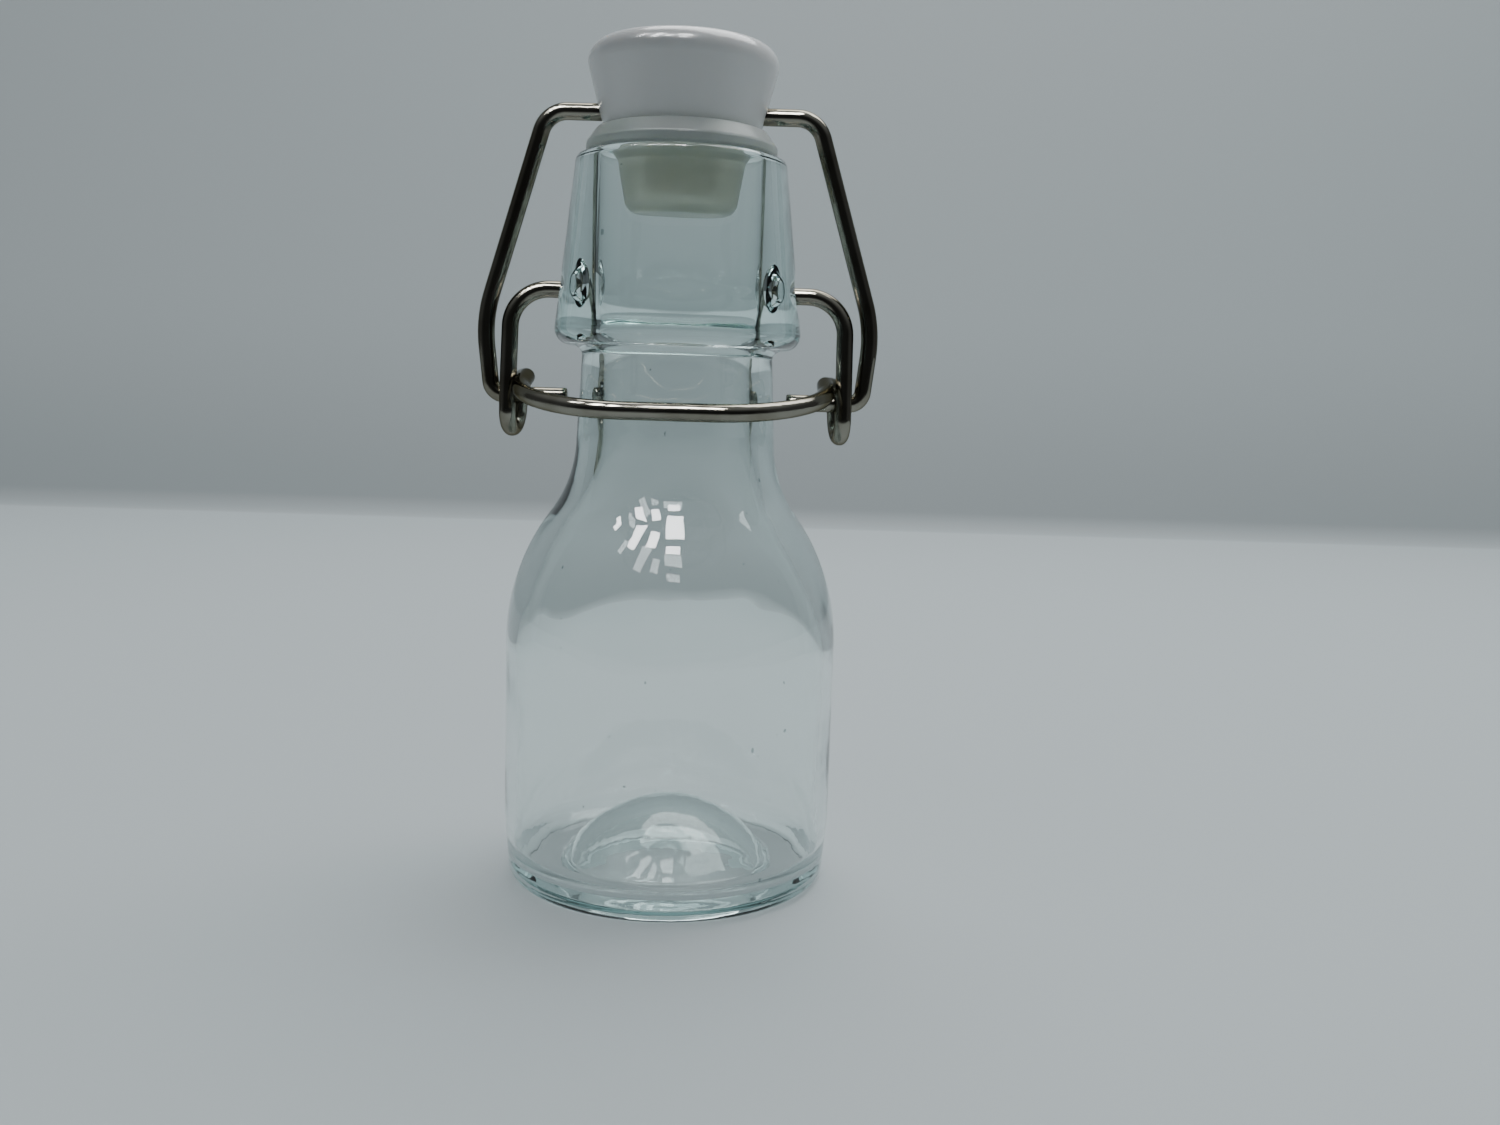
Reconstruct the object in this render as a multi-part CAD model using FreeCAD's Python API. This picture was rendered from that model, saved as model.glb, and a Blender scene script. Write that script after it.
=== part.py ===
import FreeCAD, Part
import math
import os

# Swing top bottle, 40 mm across, in millimetres.
# Z is up and the origin is the centre of the base.
# The closure turns about X, and its thumb bow is at the front, on the -Y side.

# Glass body
BODY_RADIUS = 20.0
HEEL_RADIUS = 19.35
HEEL_TOP = 7.5
HEEL_CORNER = 1.8
HEEL_BEND = 10.0
SHOULDER_CORNER_Z = 37.74
SHOULDER_BEND = 26.0
NECK_FOOT_RADIUS = 12.15
NECK_FOOT_Z = 48.35
NECK_BEND = 15.0
NECK_TOP_RADIUS = 11.33

# Glass collar and lip
COLLAR_BOTTOM = 64.5
COLLAR_BOTTOM_RADIUS = 14.9
COLLAR_CORNER = 1.9
COLLAR_ROOT = 1.2
LIP_TOP = 86.5
LIP_RADIUS = 12.38
LIP_ROUNDING = 0.8

# Inside of the glass
BORE_RADIUS = 9.55
BORE_BOTTOM = 68.0
THROAT_RADIUS = 8.75
THROAT_TOP = 62.5
THROAT_BEND = 12.0
THROAT_FOOT_RADIUS = 8.9
THROAT_FOOT_BEND = 17.0
THROAT_FOOT_Z = 48.7
CAVITY_RADIUS = 18.5
CAVITY_SHOULDER_Z = 35.73
CAVITY_SHOULDER_BEND = 24.0
TROUGH_Z = 2.3
CAVITY_CORNER = 3.0

# Push-up of the base: the dome underneath and the dome of the floor above it
PUNT_TOP_Z = 6.8
PUNT_BEND = 13.6
PUNT_SLOPE = 54.0
PUNT_FOOT_ROUNDING = 0.8
FLOOR_TOP_Z = 9.3
FLOOR_BEND = 14.6
FLOOR_SLOPE = 55.0
FLOOR_FOOT_ROUNDING = 1.5

# Closure wires and their pivots
WIRE_RADIUS = 1.0
LEVER_PIVOT_Z = 71.0
HOOK_Z = 58.4
CROSS_Z = 91.6
RUNNING_GAP = 0.06
SHORTEST_RUN = 0.001

# Dimples for the lever's ends
DIMPLE_BOTTOM_X = 10.6
DIMPLE_NECK_X = 12.6
DIMPLE_MOUTH_X = 14.8
DIMPLE_MOUTH_RADIUS = 3.1
LEVER_END_X = 10.9

# Bail wire
BAIL_TOP_X = 15.9
BAIL_TOP_BEND = 3.2
BAIL_WAIST_X = 23.2
BAIL_WAIST_Z = 67.3
BAIL_WAIST_BEND = 16.0
BAIL_FOOT_X = 22.2
BAIL_FOOT_BEND = 1.7
HOOK_END_X = 13.2

# Lever wire
LEVER_LEG_X = 19.95
LEVER_TOP_BEND = 4.5
LEVER_KNEE_BEND = 10.0
LOOP_REACH = 2.2
LOOP_BEND = 2.1
LOOP_BOTTOM_Z = 54.45
LOOP_BACK_X = 19.5
LOOP_CREST_BACK_X = 19.0
LOOP_CREST_FRONT_X = 17.7
BOW_CORNER_X = 17.4
BOW_Y = -18.9
BOW_Z = 57.2
BOW_BEND = 13.0
ARM_BEND = 2.0

# Stopper head
HEAD_BOTTOM = 89.6
HEAD_BOTTOM_RADIUS = 9.2
HEAD_EDGE_RADIUS = 11.68
HEAD_EDGE_Z = 98.7
HEAD_EDGE_BEND = 2.3
HEAD_TOP = 100.6
HEAD_BOTTOM_ROUNDING = 0.4
CROWN_RADIUS = 5.3
CROWN_Z = 100.35
CROWN_BEND = 25.0
SPIGOT_RADIUS = 3.0
SPIGOT_BOTTOM = 82.0
SPIGOT_ROUNDING = 0.5

# Seal
FLANGE_RADIUS = 11.25
FLANGE_EDGE_Z = 87.9
FLANGE_ROUNDING = 0.5
FLANGE_TOP_RADIUS = 10.0
FLANGE_BOTTOM = 86.55
PLUG_TOP_RADIUS = 8.5
PLUG_WAIST_RADIUS = 7.45
PLUG_WAIST_Z = 85.2
PLUG_WAIST_BEND = 0.6
PLUG_ROOT = 0.3
PLUG_BOTTOM_RADIUS = 6.35
PLUG_BOTTOM = 79.2
PLUG_CORNER = 1.6


def vector(x, y, z):
    return FreeCAD.Vector(x, y, z)


def path_edges(corners):
    """Straight runs joined by tangent arcs, one arc of the given radius at each inner corner."""
    points = [vector(*corner[0]) for corner in corners]
    radii = [corner[1] for corner in corners]
    edges = []
    start = points[0]
    for index in range(1, len(points) - 1):
        corner = points[index]
        back = (points[index - 1] - corner).normalize()
        ahead = (points[index + 1] - corner).normalize()
        radius = radii[index]
        if radius > 0:
            half_angle = back.getAngle(ahead) / 2
            setback = radius / math.tan(half_angle)
            first = corner + back * setback
            last = corner + ahead * setback
            middle_way = (back + ahead).normalize()
            inset = radius / math.sin(half_angle) - radius
            if first.distanceToPoint(start) > SHORTEST_RUN:
                edges.append(Part.LineSegment(start, first).toShape())
            edges.append(Part.Arc(first, corner + middle_way * inset, last).toShape())
            start = last
        else:
            edges.append(Part.LineSegment(start, corner).toShape())
            start = corner
    edges.append(Part.LineSegment(start, points[-1]).toShape())
    return edges


def outline(corners):
    """Turn (radius, height, rounding) rows into the rows that path_edges takes."""
    return [((radius, 0, height), rounding) for radius, height, rounding in corners]


def turned(corners):
    """A solid of revolution about Z from an outline that starts and ends on the axis."""
    edges = path_edges(outline(corners))
    edges.append(Part.LineSegment(vector(0, 0, corners[-1][1]), vector(0, 0, corners[0][1])).toShape())
    return Part.Face(Part.Wire(edges)).revolve(vector(0, 0, 0), vector(0, 0, 1), 360)


def bent_wire(corners):
    """A round wire along straight runs and tangent arcs."""
    spine = Part.Wire(path_edges(corners))
    start = spine.Edges[0]
    heading = start.tangentAt(start.FirstParameter)
    section = Part.Wire(Part.makeCircle(WIRE_RADIUS, start.Vertexes[0].Point, heading))
    swept = spine.makePipeShell([section], True, False)
    expected = math.pi * WIRE_RADIUS ** 2 * spine.Length
    print("wire length", round(spine.Length, 2), "volume ratio", round(swept.Volume / expected, 4))
    return swept


def mirrored(corners):
    """The whole run of a wire from the corners of its +X half, given from the wire's end inwards."""
    other = [((-x, y, z), bend) for (x, y, z), bend in reversed(corners)]
    return corners + other


def dome_rows(top, bend, slope, foot, foot_rounding):
    """Outline rows of a round dome: its crown, the corner its arc stands in, and its foot."""
    steepness = math.radians(slope)
    straight_drop = top - bend * (1 - math.cos(steepness)) - foot
    foot_radius = bend * math.sin(steepness) + straight_drop / math.tan(steepness)
    return [
        (0, top, 0),
        (bend * math.tan(steepness / 2), top, bend),
        (foot_radius, foot, foot_rounding),
    ]


def make_bottle():
    outside = turned(dome_rows(PUNT_TOP_Z, PUNT_BEND, PUNT_SLOPE, 0, PUNT_FOOT_ROUNDING) + [
        (HEEL_RADIUS, 0, HEEL_CORNER),
        (BODY_RADIUS, HEEL_TOP, HEEL_BEND),
        (BODY_RADIUS, SHOULDER_CORNER_Z, SHOULDER_BEND),
        (NECK_FOOT_RADIUS, NECK_FOOT_Z, NECK_BEND),
        (NECK_TOP_RADIUS, COLLAR_BOTTOM, COLLAR_ROOT),
        (COLLAR_BOTTOM_RADIUS, COLLAR_BOTTOM, COLLAR_CORNER),
        (LIP_RADIUS, LIP_TOP, LIP_ROUNDING),
        (0, LIP_TOP, 0),
    ])
    inside = turned(dome_rows(FLOOR_TOP_Z, FLOOR_BEND, FLOOR_SLOPE, TROUGH_Z, FLOOR_FOOT_ROUNDING) + [
        (CAVITY_RADIUS, TROUGH_Z, CAVITY_CORNER),
        (CAVITY_RADIUS, CAVITY_SHOULDER_Z, CAVITY_SHOULDER_BEND),
        (THROAT_FOOT_RADIUS, THROAT_FOOT_Z, THROAT_FOOT_BEND),
        (THROAT_RADIUS, THROAT_TOP, THROAT_BEND),
        (BORE_RADIUS, BORE_BOTTOM, THROAT_BEND),
        (BORE_RADIUS, LIP_TOP + LIP_ROUNDING, 0),
        (0, LIP_TOP + LIP_ROUNDING, 0),
    ])
    glass = outside.cut(inside)
    mouth_edges = [edge for edge in glass.Edges
                   if abs(edge.BoundBox.ZMin - LIP_TOP) < 1e-4
                   and abs(edge.BoundBox.XMax - BORE_RADIUS) < 1e-3]
    glass = glass.makeFillet(LIP_ROUNDING, mouth_edges)
    for side in (-1, 1):
        inward = vector(-side, 0, 0)
        socket = Part.makeCylinder(WIRE_RADIUS + RUNNING_GAP, DIMPLE_MOUTH_X - DIMPLE_BOTTOM_X,
                                   vector(side * DIMPLE_MOUTH_X, 0, LEVER_PIVOT_Z), inward)
        mouth = Part.makeCone(DIMPLE_MOUTH_RADIUS, WIRE_RADIUS, DIMPLE_MOUTH_X - DIMPLE_NECK_X,
                              vector(side * DIMPLE_MOUTH_X, 0, LEVER_PIVOT_Z), inward)
        glass = glass.cut(socket.fuse(mouth))
    return glass


def make_head():
    body = turned([
        (0, SPIGOT_BOTTOM, 0),
        (SPIGOT_RADIUS, SPIGOT_BOTTOM, SPIGOT_ROUNDING),
        (SPIGOT_RADIUS, HEAD_BOTTOM, 0),
        (HEAD_BOTTOM_RADIUS, HEAD_BOTTOM, HEAD_BOTTOM_ROUNDING),
        (HEAD_EDGE_RADIUS, HEAD_EDGE_Z, HEAD_EDGE_BEND),
        (CROWN_RADIUS, CROWN_Z, CROWN_BEND),
        (0, HEAD_TOP, 0),
    ])
    hole = Part.makeCylinder(WIRE_RADIUS + RUNNING_GAP, 4 * BODY_RADIUS,
                             vector(-2 * BODY_RADIUS, 0, CROSS_Z), vector(1, 0, 0))
    return body.cut(hole)


def make_seal():
    body = turned([
        (0, PLUG_BOTTOM, 0),
        (PLUG_BOTTOM_RADIUS, PLUG_BOTTOM, PLUG_CORNER),
        (PLUG_WAIST_RADIUS, PLUG_WAIST_Z, PLUG_WAIST_BEND),
        (PLUG_TOP_RADIUS, FLANGE_BOTTOM, PLUG_ROOT),
        (FLANGE_RADIUS, FLANGE_BOTTOM, FLANGE_ROUNDING),
        (FLANGE_RADIUS, FLANGE_EDGE_Z, FLANGE_ROUNDING),
        (FLANGE_TOP_RADIUS, HEAD_BOTTOM, FLANGE_ROUNDING),
        (0, HEAD_BOTTOM, 0),
    ])
    spigot = Part.makeCylinder(SPIGOT_RADIUS, HEAD_BOTTOM - SPIGOT_BOTTOM, vector(0, 0, SPIGOT_BOTTOM))
    return body.cut(spigot)


def make_bail():
    half = [
        ((HOOK_END_X, 0, HOOK_Z), 0),
        ((BAIL_FOOT_X, 0, HOOK_Z), BAIL_FOOT_BEND),
        ((BAIL_WAIST_X, 0, BAIL_WAIST_Z), BAIL_WAIST_BEND),
        ((BAIL_TOP_X, 0, CROSS_Z), BAIL_TOP_BEND),
    ]
    return bent_wire(mirrored(half))


def make_lever():
    hook_top = HOOK_Z + LOOP_REACH
    half = [
        ((LEVER_END_X, 0, LEVER_PIVOT_Z), 0),
        ((LEVER_LEG_X, 0, LEVER_PIVOT_Z), LEVER_TOP_BEND),
        ((LEVER_LEG_X, -LOOP_REACH, HOOK_Z), LEVER_KNEE_BEND),
        ((LEVER_LEG_X, -LOOP_REACH, LOOP_BOTTOM_Z), LOOP_BEND),
        ((LOOP_BACK_X, LOOP_REACH, LOOP_BOTTOM_Z), LOOP_BEND),
        ((LOOP_CREST_BACK_X, LOOP_REACH, hook_top), ARM_BEND),
        ((LOOP_CREST_FRONT_X, -LOOP_REACH, hook_top), ARM_BEND),
        ((BOW_CORNER_X, BOW_Y, BOW_Z), BOW_BEND),
    ]
    return bent_wire(mirrored(half))


def main():
    os.makedirs("parts", exist_ok=True)
    pieces = {
        "bottle": make_bottle(),
        "stopper_head": make_head(),
        "seal": make_seal(),
        "bail_wire": make_bail(),
        "lever_wire": make_lever(),
    }
    for name, shape in pieces.items():
        box = shape.BoundBox
        print(name, shape.ShapeType, shape.isValid(), len(shape.Solids), round(shape.Volume, 1),
              "x %.2f %.2f y %.2f %.2f z %.2f %.2f" % (box.XMin, box.XMax, box.YMin, box.YMax,
                                                       box.ZMin, box.ZMax))
        shape.Solids[0].exportStep("parts/" + name + ".step")


main()
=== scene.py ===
from math import ceil, cos, pi, radians, sin, tan

import bpy
import numpy as np
from mathutils import Matrix, Vector


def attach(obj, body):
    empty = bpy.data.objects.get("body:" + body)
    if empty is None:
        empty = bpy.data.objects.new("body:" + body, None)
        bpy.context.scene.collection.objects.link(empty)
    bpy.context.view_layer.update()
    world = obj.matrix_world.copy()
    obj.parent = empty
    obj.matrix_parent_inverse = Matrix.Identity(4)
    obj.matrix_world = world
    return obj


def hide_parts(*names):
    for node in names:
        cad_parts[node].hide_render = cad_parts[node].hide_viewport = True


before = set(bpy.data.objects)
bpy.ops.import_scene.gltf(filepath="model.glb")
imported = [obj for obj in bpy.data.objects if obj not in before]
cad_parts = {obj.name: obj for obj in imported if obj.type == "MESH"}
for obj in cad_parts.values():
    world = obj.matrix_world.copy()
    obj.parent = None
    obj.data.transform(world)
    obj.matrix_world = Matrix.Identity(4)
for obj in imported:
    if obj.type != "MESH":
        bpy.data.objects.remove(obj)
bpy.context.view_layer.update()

mm = 0.001  # sizes below are in millimetres, meshes are in metres
arcStep = radians(6)  # the longest step along an arc
slack = 0.001  # a stretch this little over a whole number of steps gets no step more
print("frame loaded")


# A run of corners with a rounding at each: straight stretches and tangent arcs.
# Each corner is (place, rounding, spacing), and spacing is that of the stretch before it.
# An arc's point = centre + (first - centre) cos t - rounding back sin t, where back is the unit vector
# from the corner to the one before.
def roundedRun(corners):
    places = [np.array(place, float) for place, _, _ in corners]
    parts = []
    start = places[0]
    for i in range(1, len(places)):
        corner, rounding, spacing = places[i], corners[i][1], corners[i][2]
        if i + 1 < len(places) and rounding > 0:
            back = places[i - 1] - corner
            ahead = places[i + 1] - corner
            back /= np.linalg.norm(back)
            ahead /= np.linalg.norm(ahead)
            half = 0.5 * np.arccos(np.clip(back @ ahead, -1, 1))
            first = corner + back * rounding / np.tan(half)
            middle = (back + ahead) / np.linalg.norm(back + ahead)
            centre = corner + middle * rounding / np.sin(half)
            turn = pi - 2 * half
        else:
            first, turn = corner, 0
        steps = ceil(np.linalg.norm(first - start) / spacing - slack)
        t = np.linspace(0, 1, steps, endpoint=False)[:, None]
        parts.append(start + (first - start) * t)
        start = first
        if turn:
            steps = max(ceil(turn / arcStep), ceil(turn * rounding / spacing))
            t = np.linspace(0, turn, steps, endpoint=False)[:, None]
            parts.append(centre + (first - centre) * np.cos(t) - back * rounding * np.sin(t))
            start = corner + ahead * rounding / np.tan(half)
    parts.append(places[-1][None, :])
    return np.concatenate(parts)


def addMesh(name, points, faces, uv=None):
    mesh = bpy.data.meshes.new(name)
    mesh.from_pydata((points * mm).tolist(), [], faces)
    mesh.polygons.foreach_set("use_smooth", np.full(len(mesh.polygons), True))
    if uv is not None:
        corners = np.empty(len(mesh.loops), np.int32)
        mesh.loops.foreach_get("vertex_index", corners)
        mesh.uv_layers.new(name="UVMap").data.foreach_set("uv", uv[corners].astype(np.float32).ravel())
    mesh.update()
    piece = bpy.data.objects.new(name, mesh)
    bpy.context.scene.collection.objects.link(piece)
    return piece


# Mesh of a grid of rows x columns that closes on itself across the columns, with a point at each end
# that the first and the last row fan out from.
def closedMesh(name, grid, ends, uv=None):
    rows, columns = grid.shape[:2]
    row, column = np.meshgrid(np.arange(rows - 1), np.arange(columns), indexing="ij")
    beside = (column + 1) % columns
    quads = np.stack([row * columns + column, row * columns + beside,
                      (row + 1) * columns + beside, (row + 1) * columns + column], -1)
    around = np.arange(columns)
    beside = (around + 1) % columns
    first, last = rows * columns, rows * columns + 1
    top = (rows - 1) * columns
    faces = quads.reshape(-1, 4).tolist()
    faces += np.stack([0 * around + first, beside, around], -1).tolist()
    faces += np.stack([0 * around + last, top + around, top + beside], -1).tolist()
    return addMesh(name, np.concatenate([grid.reshape(-1, 3), ends]), faces, uv)


# A round wire along a run of points, with closed and slightly broken ends.
# Point = run + radius (side cos a + over sin a), side and over square to the run's heading.
def drawWire(name, run, w):
    radius = w["radius"]
    breaks = radius * w["endBreak"]
    heading = np.gradient(run, axis=0)
    heading /= np.linalg.norm(heading, axis=1)[:, None]
    side = np.cross(heading, w["neverAlong"])
    side /= np.linalg.norm(side, axis=1)[:, None]
    over = np.cross(heading, side)
    scale = np.full(len(run), radius)
    run = np.concatenate([run[:1], run[:1] + heading[:1] * breaks, run[1:-1],
                          run[-1:] - heading[-1:] * breaks, run[-1:]])
    side, over, scale = [np.concatenate([a[:1], a, a[-1:]]) for a in (side, over, scale)]
    scale[[0, -1]] = radius - breaks
    angles = np.linspace(0, 2 * pi, w["columns"], endpoint=False)[None, :, None]
    ring = side[:, None] * np.cos(angles) + over[:, None] * np.sin(angles)
    grid = run[:, None] + scale[:, None, None] * ring
    along = np.concatenate([[0], np.cumsum(np.linalg.norm(np.diff(run, axis=0), axis=1))])[:, None]
    angles = angles[..., 0]
    uv = np.stack([np.cos(angles) + 0 * along, along + 0 * angles], -1).reshape(-1, 2)
    uv = np.concatenate([uv, [[0, 0], [0, along[-1, 0]]]])
    return closedMesh(name, grid, run[[0, -1]], uv)


# A socket that can stand in a sum: each operator adds one Math node.
class Socket:
    def __init__(self, shader, socket):
        self.shader = shader
        self.socket = socket

    def math(self, operation, *values):
        return self.shader.node("ShaderNodeMath", {"operation": operation}, dict(enumerate(values)))

    def __add__(self, other):
        return self.math("ADD", self, other)

    def __rsub__(self, other):
        return self.math("SUBTRACT", other, self)

    def __mul__(self, other):
        return self.math("MULTIPLY", self, other)

    __radd__ = __add__
    __rmul__ = __mul__


class Shader:
    def __init__(self, name, world=None):
        self.material = world or bpy.data.materials.new(name)
        self.material.use_nodes = True
        self.tree = self.material.node_tree
        self.tree.nodes.clear()
        self.output = self.tree.nodes.new("ShaderNodeOutputWorld" if world else "ShaderNodeOutputMaterial")

    def node(self, kind, settings, inputs, output=0):
        made = self.tree.nodes.new(kind)
        for key, value in settings.items():
            setattr(made, key, value)
        for key, value in inputs.items():
            self.feed(made.inputs[key], value)
        return Socket(self, made.outputs[output])

    def feed(self, socket, value):
        if isinstance(value, Socket):
            self.tree.links.new(value.socket, socket)
        else:
            socket.default_value = value

    def place(self, kind="Object"):
        return self.node("ShaderNodeTexCoord", {}, {}, kind)

    def noise(self, scale, detail, where=None):
        return self.node("ShaderNodeTexNoise", {}, {
            "Vector": where or self.place(), "Scale": scale, "Detail": detail}, "Fac")

    def stretch(self, where, scale):
        return self.node("ShaderNodeMapping", {}, {"Vector": where, "Scale": scale})

    def blend(self, factor, one, other):
        return self.node("ShaderNodeMix", {"data_type": "RGBA"}, {0: factor, 6: (*one, 1), 7: (*other, 1)}, 2)

    def band(self, value, low, high):
        return self.node("ShaderNodeMapRange", {"interpolation_type": "SMOOTHSTEP"}, {
            "Value": value, "From Min": low, "From Max": high})

    # One coordinate of the place, in metres: 1 is Y and 2 is Z.
    def coordinate(self, axis, kind="Object"):
        return self.node("ShaderNodeSeparateXYZ", {}, {0: self.place(kind)}, axis)

    def bump(self, height, strength, distance):
        return self.node("ShaderNodeBump", {}, {"Height": height, "Strength": strength, "Distance": distance})

    def surface(self, inputs, absorption=None):
        self.feed(self.output.inputs["Surface"], self.node("ShaderNodeBsdfPrincipled", {}, inputs))
        if absorption:
            self.feed(self.output.inputs["Volume"], self.node("ShaderNodeVolumeAbsorption", {}, absorption))
        return self.material


def dress(piece, material):
    piece.data.materials.clear()
    piece.data.materials.append(material)


# Lengths in millimetres, turns in degrees. An azimuth of 0 looks along +Y.
camera = dict(
    sensor=36, lens=32.7, nearest=10.0,
    azimuth=3.0, distance=165.5, height=59.65, tiltDown=7.16, turnRight=3.27, roll=1.72,
)


def setCamera(c):
    data = bpy.data.cameras.new("camera")
    data.sensor_width = c["sensor"]
    data.lens = c["lens"]
    data.clip_start = c["nearest"] * mm
    holder = bpy.data.objects.new("camera", data)
    bpy.context.scene.collection.objects.link(holder)
    azimuth = radians(c["azimuth"])
    place = Vector((c["distance"] * sin(azimuth), -c["distance"] * cos(azimuth), c["height"])) * mm
    turn = Matrix.Rotation(radians(c["azimuth"] - c["turnRight"]), 4, "Z")
    tilt = Matrix.Rotation(radians(90 - c["tiltDown"]), 4, "X")
    roll = Matrix.Rotation(radians(c["roll"]), 4, "Z")
    holder.matrix_world = Matrix.Translation(place) @ turn @ tilt @ roll
    bpy.context.scene.camera = holder


setCamera(camera)
print("camera set")


glass = dict(
    body=20.0, heel=19.35, heelTop=7.5, heelBend=10.0, heelCorner=1.8,
    puntTop=6.8, puntBend=13.6, puntSlope=54.0, puntFoot=0.8,
    floorTop=9.3, floorBend=14.6, floorSlope=55.0, floorFoot=1.5, trough=2.3, troughBend=3.0,
    shoulder=37.74, shoulderBend=26.0, neckFoot=12.15, neckFootZ=48.35, neckBend=15.0,
    neckTop=11.33, collarZ=64.5, collar=14.9, collarCorner=1.9, collarRoot=1.2,
    lip=12.38, lipZ=86.5, lipRound=0.8,
    bore=9.55, boreEnd=68.0, boreBend=12.0,
    throat=8.75, throatTop=62.5, throatFoot=8.9, throatFootZ=48.7, throatBend=17.0,
    cavity=18.5, cavityShoulder=35.73, cavityBend=24.0,
    dimpleZ=71.0, dimpleBottom=10.65, dimpleInner=1.12, dimpleMouth=3.2, dimpleMargin=0.3, dimpleSpacing=0.16,
    columns=240, gather=0.3, wave=0.11, waveFoot=(12.0, 22.0), waveTop=(46.0, 60.0),
)


# Crown, arc corner and foot of a round dome.
# Foot radius = bend sin slope + (what is left of the drop) / tan slope.
def dome(top, bend, slope, foot, footRounding):
    steep = radians(slope)
    drop = top - bend * (1 - cos(steep)) - foot
    return [(0, top, 0, 1), (bend * tan(steep / 2), top, bend, 0.9),
            (bend * sin(steep) + drop / tan(steep), foot, footRounding, 0.5)]


# The section's points, up the outside, over the lip, down the inside and back to the axis, and the row that
# is the lip's. Each corner is (radius, height, rounding, spacing), and rows are closer at the dimples.
def glassOutline(g):
    outside = dome(g["puntTop"], g["puntBend"], g["puntSlope"], 0, g["puntFoot"]) + [
        (g["heel"], 0, g["heelCorner"], 0.8),
        (g["body"], g["heelTop"], g["heelBend"], 0.8),
        (g["body"], g["shoulder"], g["shoulderBend"], 1.2),
        (g["neckFoot"], g["neckFootZ"], g["neckBend"], 0.8),
        (g["neckTop"], g["collarZ"], g["collarRoot"], 1.0),
        (g["collar"], g["collarZ"], g["collarCorner"], 0.5),
    ]
    slope = (g["lip"] - g["collar"]) / (g["lipZ"] - g["collarZ"])
    reach = g["dimpleMouth"] + g["dimpleMargin"]
    for z, spacing in ((g["dimpleZ"] - reach, 0.5), (g["dimpleZ"] + reach, g["dimpleSpacing"])):
        outside.append((g["collar"] + slope * (z - g["collarZ"]), z, 0, spacing))
    mouth = [(g["lip"], g["lipZ"], g["lipRound"], 0.7), (g["bore"], g["lipZ"], g["lipRound"], 0.4)]
    inside = [
        (g["bore"], g["boreEnd"], g["boreBend"], 0.9),
        (g["throat"], g["throatTop"], g["boreBend"], 0.8),
        (g["throatFoot"], g["throatFootZ"], g["throatBend"], 0.9),
        (g["cavity"], g["cavityShoulder"], g["cavityBend"], 0.8),
        (g["cavity"], g["trough"], g["troughBend"], 1.0),
    ]
    floor = dome(g["floorTop"], g["floorBend"], g["floorSlope"], g["trough"], g["floorFoot"])[::-1]
    corners = outside + mouth + inside + floor
    run = roundedRun([((r, z), rounding, spacing) for r, z, rounding, spacing in corners])
    lipRow = int(np.argmax(run[:, 1]))
    return run, lipRow


# 0 below the first height and 1 above the second, in a straight line between them.
def ramp(z, heights):
    return np.clip((z - heights[0]) / (heights[1] - heights[0]), 0, 1)


# A surface of revolution, x = r cos a, y = r sin a, whose outline starts and ends on the axis.
# Inner wall: radius + wave (sin(2a + z/9) + ...), fading out towards mouth and floor.
# Outer wall: x eased from the dimple's bottom out to the collar's surface.
def makeGlass(g):
    outline, lipRow = glassOutline(g)
    t = np.linspace(0, 2 * pi, g["columns"], endpoint=False)
    angles = (t - g["gather"] * np.sin(2 * t))[None, :]  # closer together at the dimples
    r = outline[1:-1, 0][:, None]
    z = outline[1:-1, 1][:, None] + 0 * angles
    inner = np.arange(len(r))[:, None] > lipRow
    wave = np.sin(2 * angles + 0.7 + z / 9)
    wave += 0.6 * np.sin(3 * angles - 1.1 - z / 6)
    wave += 0.35 * np.sin(7 * angles + z / 3.1)
    fade = ramp(z, g["waveFoot"]) * (1 - ramp(z, g["waveTop"]))
    r = r + inner * fade * g["wave"] * wave
    x, y = r * np.cos(angles), r * np.sin(angles)
    away = np.hypot(y, z - g["dimpleZ"])
    s = np.clip((away - g["dimpleInner"]) / (g["dimpleMouth"] - g["dimpleInner"]), 0, 1)
    ease = s * s * (3 - 2 * s)
    pressed = np.sign(x) * (g["dimpleBottom"] + (np.abs(x) - g["dimpleBottom"]) * ease)
    x = np.where(~inner & (away < g["dimpleMouth"]) & (np.abs(x) > g["lip"]), pressed, x)
    ends = [[0, 0, outline[0, 1]], [0, 0, outline[-1, 1]]]
    return closedMesh("glass_bottle", np.stack([x, y, z], -1), ends)


# Smudges, soft waves that grow stronger near the base, and a few dark seeds.
def glassShader():
    s = Shader("clear glass")
    smudge = s.band(s.noise(55, 3), 0.45, 0.8)
    base = 1 - s.band(s.coordinate(2), 0.008, 0.024)
    ripple = s.noise(160, 1) + base * s.noise(420, 2) * 0.5
    seed = s.band(s.noise(900, 0), 0.875, 0.895)
    return s.surface({
        "Base Color": s.blend(seed, (0.975, 0.995, 0.99), (0.25, 0.3, 0.3)),
        "Transmission Weight": 1.0, "IOR": 1.5,
        "Roughness": smudge * 0.012, "Normal": s.bump(ripple, 0.12, 0.0004),
    }, {"Color": (0.15, 0.90, 0.86, 1), "Density": 17.0})


bottle = makeGlass(glass)
dress(bottle, glassShader())
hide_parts("bottle")
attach(bottle, "glass")
print("glass bottle made,", len(bottle.data.polygons), "faces")


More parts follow.
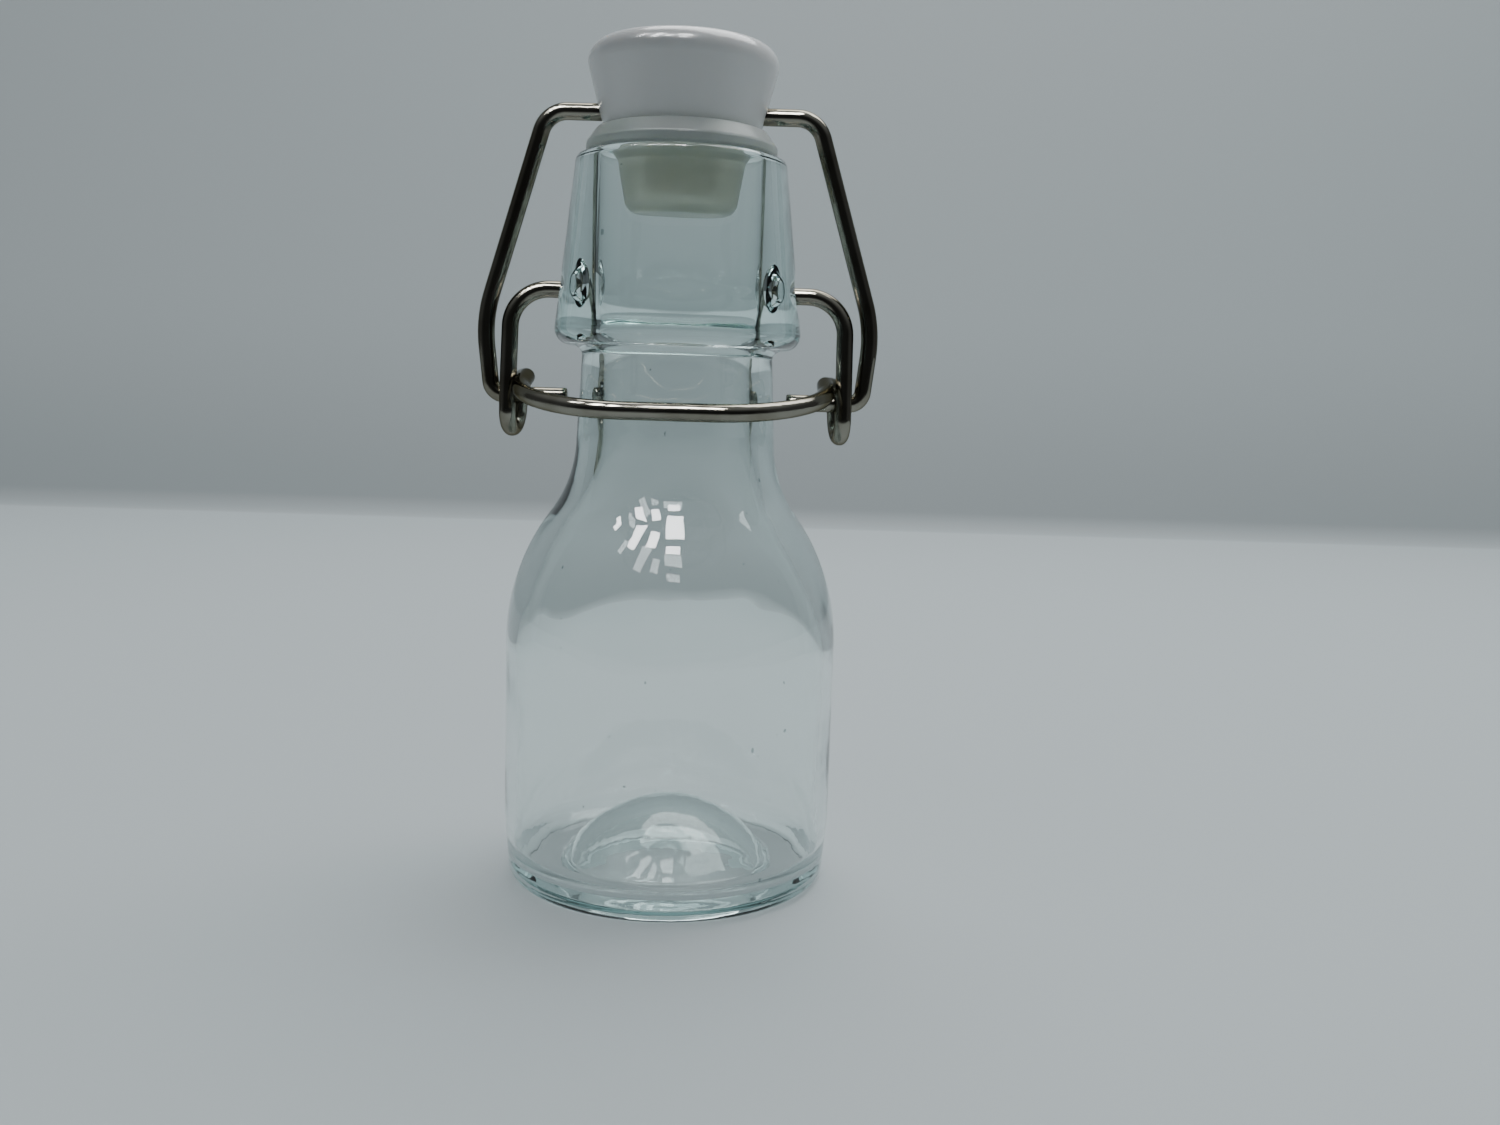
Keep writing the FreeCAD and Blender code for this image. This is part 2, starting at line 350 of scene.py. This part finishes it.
wires = dict(
    radius=1.0, columns=40, endBreak=0.12, neverAlong=(0.48, 0.62, 0.62),
    pivotZ=71.0, hookZ=58.4, crossZ=91.6,
    hookEnd=13.2, bailFoot=22.2, bailFootBend=1.7, bailWaist=23.2, bailWaistZ=67.3, bailWaistBend=16.0,
    bailTop=15.9, bailTopBend=3.2,
    leverEnd=10.9, leverLeg=19.95, leverTopBend=4.5, leverLegBend=10.0,
    loopReach=2.2, loopBend=2.1, loopBottom=54.45, loopBack=19.5,
    crestBack=19.0, crestFront=17.7, crestBend=2.0, bowCorner=17.4, bowY=-18.9, bowZ=57.2, bowBend=13.0,
)


# The half on the right and its mirror image on the left, as one run.
def bothSides(half):
    return roundedRun(half + [((-x, y, z), bend, spacing) for (x, y, z), bend, spacing in reversed(half)])


def makeBail(w):
    return drawWire("bail_wire_drawn", bothSides([
        ((w["hookEnd"], 0, w["hookZ"]), 0, 0.6),
        ((w["bailFoot"], 0, w["hookZ"]), w["bailFootBend"], 0.6),
        ((w["bailWaist"], 0, w["bailWaistZ"]), w["bailWaistBend"], 0.6),
        ((w["bailTop"], 0, w["crossZ"]), w["bailTopBend"], 0.6),
    ]), w)


def makeLever(w):
    hookTop = w["hookZ"] + w["loopReach"]
    return drawWire("lever_wire_drawn", bothSides([
        ((w["leverEnd"], 0, w["pivotZ"]), 0, 0.6),
        ((w["leverLeg"], 0, w["pivotZ"]), w["leverTopBend"], 0.5),
        ((w["leverLeg"], -w["loopReach"], w["hookZ"]), w["leverLegBend"], 0.5),
        ((w["leverLeg"], -w["loopReach"], w["loopBottom"]), w["loopBend"], 0.3),
        ((w["loopBack"], w["loopReach"], w["loopBottom"]), w["loopBend"], 0.3),
        ((w["crestBack"], w["loopReach"], hookTop), w["crestBend"], 0.3),
        ((w["crestFront"], -w["loopReach"], hookTop), w["crestBend"], 0.3),
        ((w["bowCorner"], w["bowY"], w["bowZ"]), w["bowBend"], 0.4),
    ]), w)


# Drawing lines along the wire's length, and patches of tarnish.
def wireShader():
    s = Shader("plated wire")
    along = s.stretch(s.place("UV"), (9.0, 0.05, 1.0))
    drawn = s.noise(6, 2, along)
    tarnish = s.band(s.noise(180, 3), 0.4, 0.75)
    return s.surface({
        "Base Color": s.blend(tarnish, (0.27, 0.255, 0.215), (0.17, 0.155, 0.12)), "Metallic": 1.0,
        "Roughness": 0.04 + tarnish * 0.06, "Specular Tint": (0.30, 0.29, 0.26, 1),
        "Normal": s.bump(drawn, 0.15, 0.00005),
    })


wireFinish = wireShader()
for piece, node, body in ((makeBail(wires), "bail_wire", "bail"), (makeLever(wires), "lever_wire", "lever")):
    dress(piece, wireFinish)
    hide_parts(node)
    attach(piece, body)
print("closure wires made")


# Faint flow marks, and a slightly uneven polish.
def headShader():
    s = Shader("white moulding")
    flow = s.noise(70, 3)
    return s.surface({
        "Base Color": s.blend(flow, (0.80, 0.80, 0.80), (0.86, 0.86, 0.85)),
        "Roughness": 0.16 + s.noise(400, 2) * 0.08, "Subsurface Weight": 0.15,
        "Subsurface Radius": (1.0, 0.9, 0.8), "Subsurface Scale": 0.002,
        "Coat Weight": 0.25, "Coat Roughness": 0.08, "Normal": s.bump(s.noise(900, 2), 0.08, 0.00005),
    })


# Cloudy and a little yellow below, clearer and bluer in the flange above.
def sealShader():
    s = Shader("milky seal")
    cloud = s.noise(120, 3)
    flange = s.band(s.coordinate(2), 0.0855, 0.0875)
    return s.surface({
        "Base Color": s.blend(cloud * 0.35 + flange * 0.65, (0.82, 0.80, 0.67), (0.88, 0.98, 0.95)),
        "Transmission Weight": 0.55, "IOR": 1.42,
        "Roughness": 0.30 + cloud * 0.15, "Subsurface Weight": 0.8,
        "Subsurface Radius": (1.0, 1.0, 0.9), "Subsurface Scale": 0.003,
        "Normal": s.bump(s.noise(700, 2), 0.1, 0.00005),
    })


dress(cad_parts["stopper_head"], headShader())
dress(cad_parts["seal"], sealShader())
print("stopper and seal finished")


studio = dict(
    depth=445.0, bend=9.0, lean=60.0, front=900.0, height=900.0, halfWidth=1000.0,
    spacing=60.0, columns=41,
)


# Floor and wall in one sweep: an outline along Y and Z carried along X.
def makeSweep(c):
    run = roundedRun([
        ((-c["front"], 0), 0, c["spacing"]), ((c["depth"], 0), c["bend"], c["spacing"]),
        ((c["depth"] + c["lean"], c["height"]), 0, c["spacing"]),
    ])
    across = np.linspace(-1, 1, c["columns"]) * c["halfWidth"]
    grid = np.stack([across[None, :] + 0 * run[:, :1], run[:, :1] + 0 * across, run[:, 1:] + 0 * across], -1)
    rows, columns = grid.shape[:2]
    row, column = np.meshgrid(np.arange(rows - 1), np.arange(columns - 1), indexing="ij")
    start = row * columns + column
    quads = np.stack([start, start + 1, start + columns + 1, start + columns], -1)
    return addMesh("sweep", grid.reshape(-1, 3), quads.reshape(-1, 4).tolist())


# Pale sheet that glows a little of its own, painted light though it is no lamp. Painted shade: it falls off
# to dark in front of the bottle, and the wall is painted darker than the floor, most of all along its foot:
# the mask of painted light and shade = 1 - wall (0.30 - 0.18 rise), times the front falloff.
def sweepShader():
    s = Shader("pale sheet")
    depth = s.coordinate(1)
    cloud = s.noise(3, 2)
    # Painted shade: the sheet turns dark in front of the bottle, in place of the room's falloff of light.
    front = s.band(depth + cloud * 0.06, -0.24, -0.13)
    wall = s.band(depth, 0.43, 0.447)
    # Painted shade: the wall is darker than the floor, most of all in the corner along its foot.
    painted_light_and_shade = front * (1 - wall * (0.30 - s.band(s.coordinate(2), 0, 0.1) * 0.18))
    return s.surface({
        "Base Color": s.blend(painted_light_and_shade * (0.92 + cloud * 0.08), (0.03, 0.034, 0.036), (0.308, 0.345, 0.357)),
        "Roughness": 0.75,
        # Painted light: the sheet glows under the same mask of painted light and shade, though it is no lamp.
        "Emission Color": s.blend(painted_light_and_shade, (0, 0, 0), (0.855, 0.96, 0.995)), "Emission Strength": 0.215,
    })


# Lamps aimed at the bottle's middle. A pane is (bearing, rise, width, height), with the bearing and the
# rise in degrees: a bearing of 0 is the front, and + is the right.
lamps = dict(
    aimZ=45.0,
    overhead=(150, 66, 700, 500), overheadAway=700.0, overheadPower=6.0, overheadColour=(0.97, 0.99, 1.0),
    panes=((5, 62, 125, 84), (3, 51, 96, 50), (-21, 56, 64, 96), (-41, 57, 64, 190), (-68, 57, 34, 130)),
    paneAway=600.0, panePower=1.4e-4, paneColour=(0.97, 0.98, 1.0),
)


def lamp(name, pane, away, power, colour):
    bearing, rise, width, height = pane
    data = bpy.data.lights.new(name, "AREA")
    data.shape = "RECTANGLE"
    data.size = width * mm
    data.size_y = height * mm
    data.energy = power
    data.color = colour
    holder = bpy.data.objects.new(name, data)
    bpy.context.scene.collection.objects.link(holder)
    bearing, rise = radians(bearing), radians(rise)
    way = Vector((sin(bearing) * cos(rise), -cos(bearing) * cos(rise), sin(rise)))
    holder.location = Vector((0, 0, lamps["aimZ"] * mm)) + way * away * mm
    holder.rotation_euler = way.to_track_quat("Z", "Y").to_euler()
    return holder


sweep = makeSweep(studio)
dress(sweep, sweepShader())
lamp("overhead", lamps["overhead"], lamps["overheadAway"], lamps["overheadPower"], lamps["overheadColour"])
# Panes of a tall window, seen only in reflections. Power is by the square millimetre.
for i, pane in enumerate(lamps["panes"]):
    power = lamps["panePower"] * pane[2] * pane[3]
    light = lamp("pane" + str(i), pane, lamps["paneAway"], power, lamps["paneColour"])
    light.visible_diffuse = False


# A dim room: strength = 0.03 + 0.35 overhead + 0.07 away, where overhead grows with the height of the look
# and away is 0 for looks towards the front.
def setRoom():
    room = Shader("room", bpy.data.worlds.new("room"))
    overhead = room.band(room.coordinate(2, "Generated"), 0.35, 0.95)
    away = room.band(room.coordinate(1, "Generated"), -0.8, -0.4)
    room.feed(room.output.inputs["Surface"], room.node("ShaderNodeBackground", {}, {
        "Color": (0.88, 0.95, 1.0, 1), "Strength": 0.03 + overhead * 0.35 + away * 0.07}))
    bpy.context.scene.world = room.material


setRoom()
print("floor and lights set")
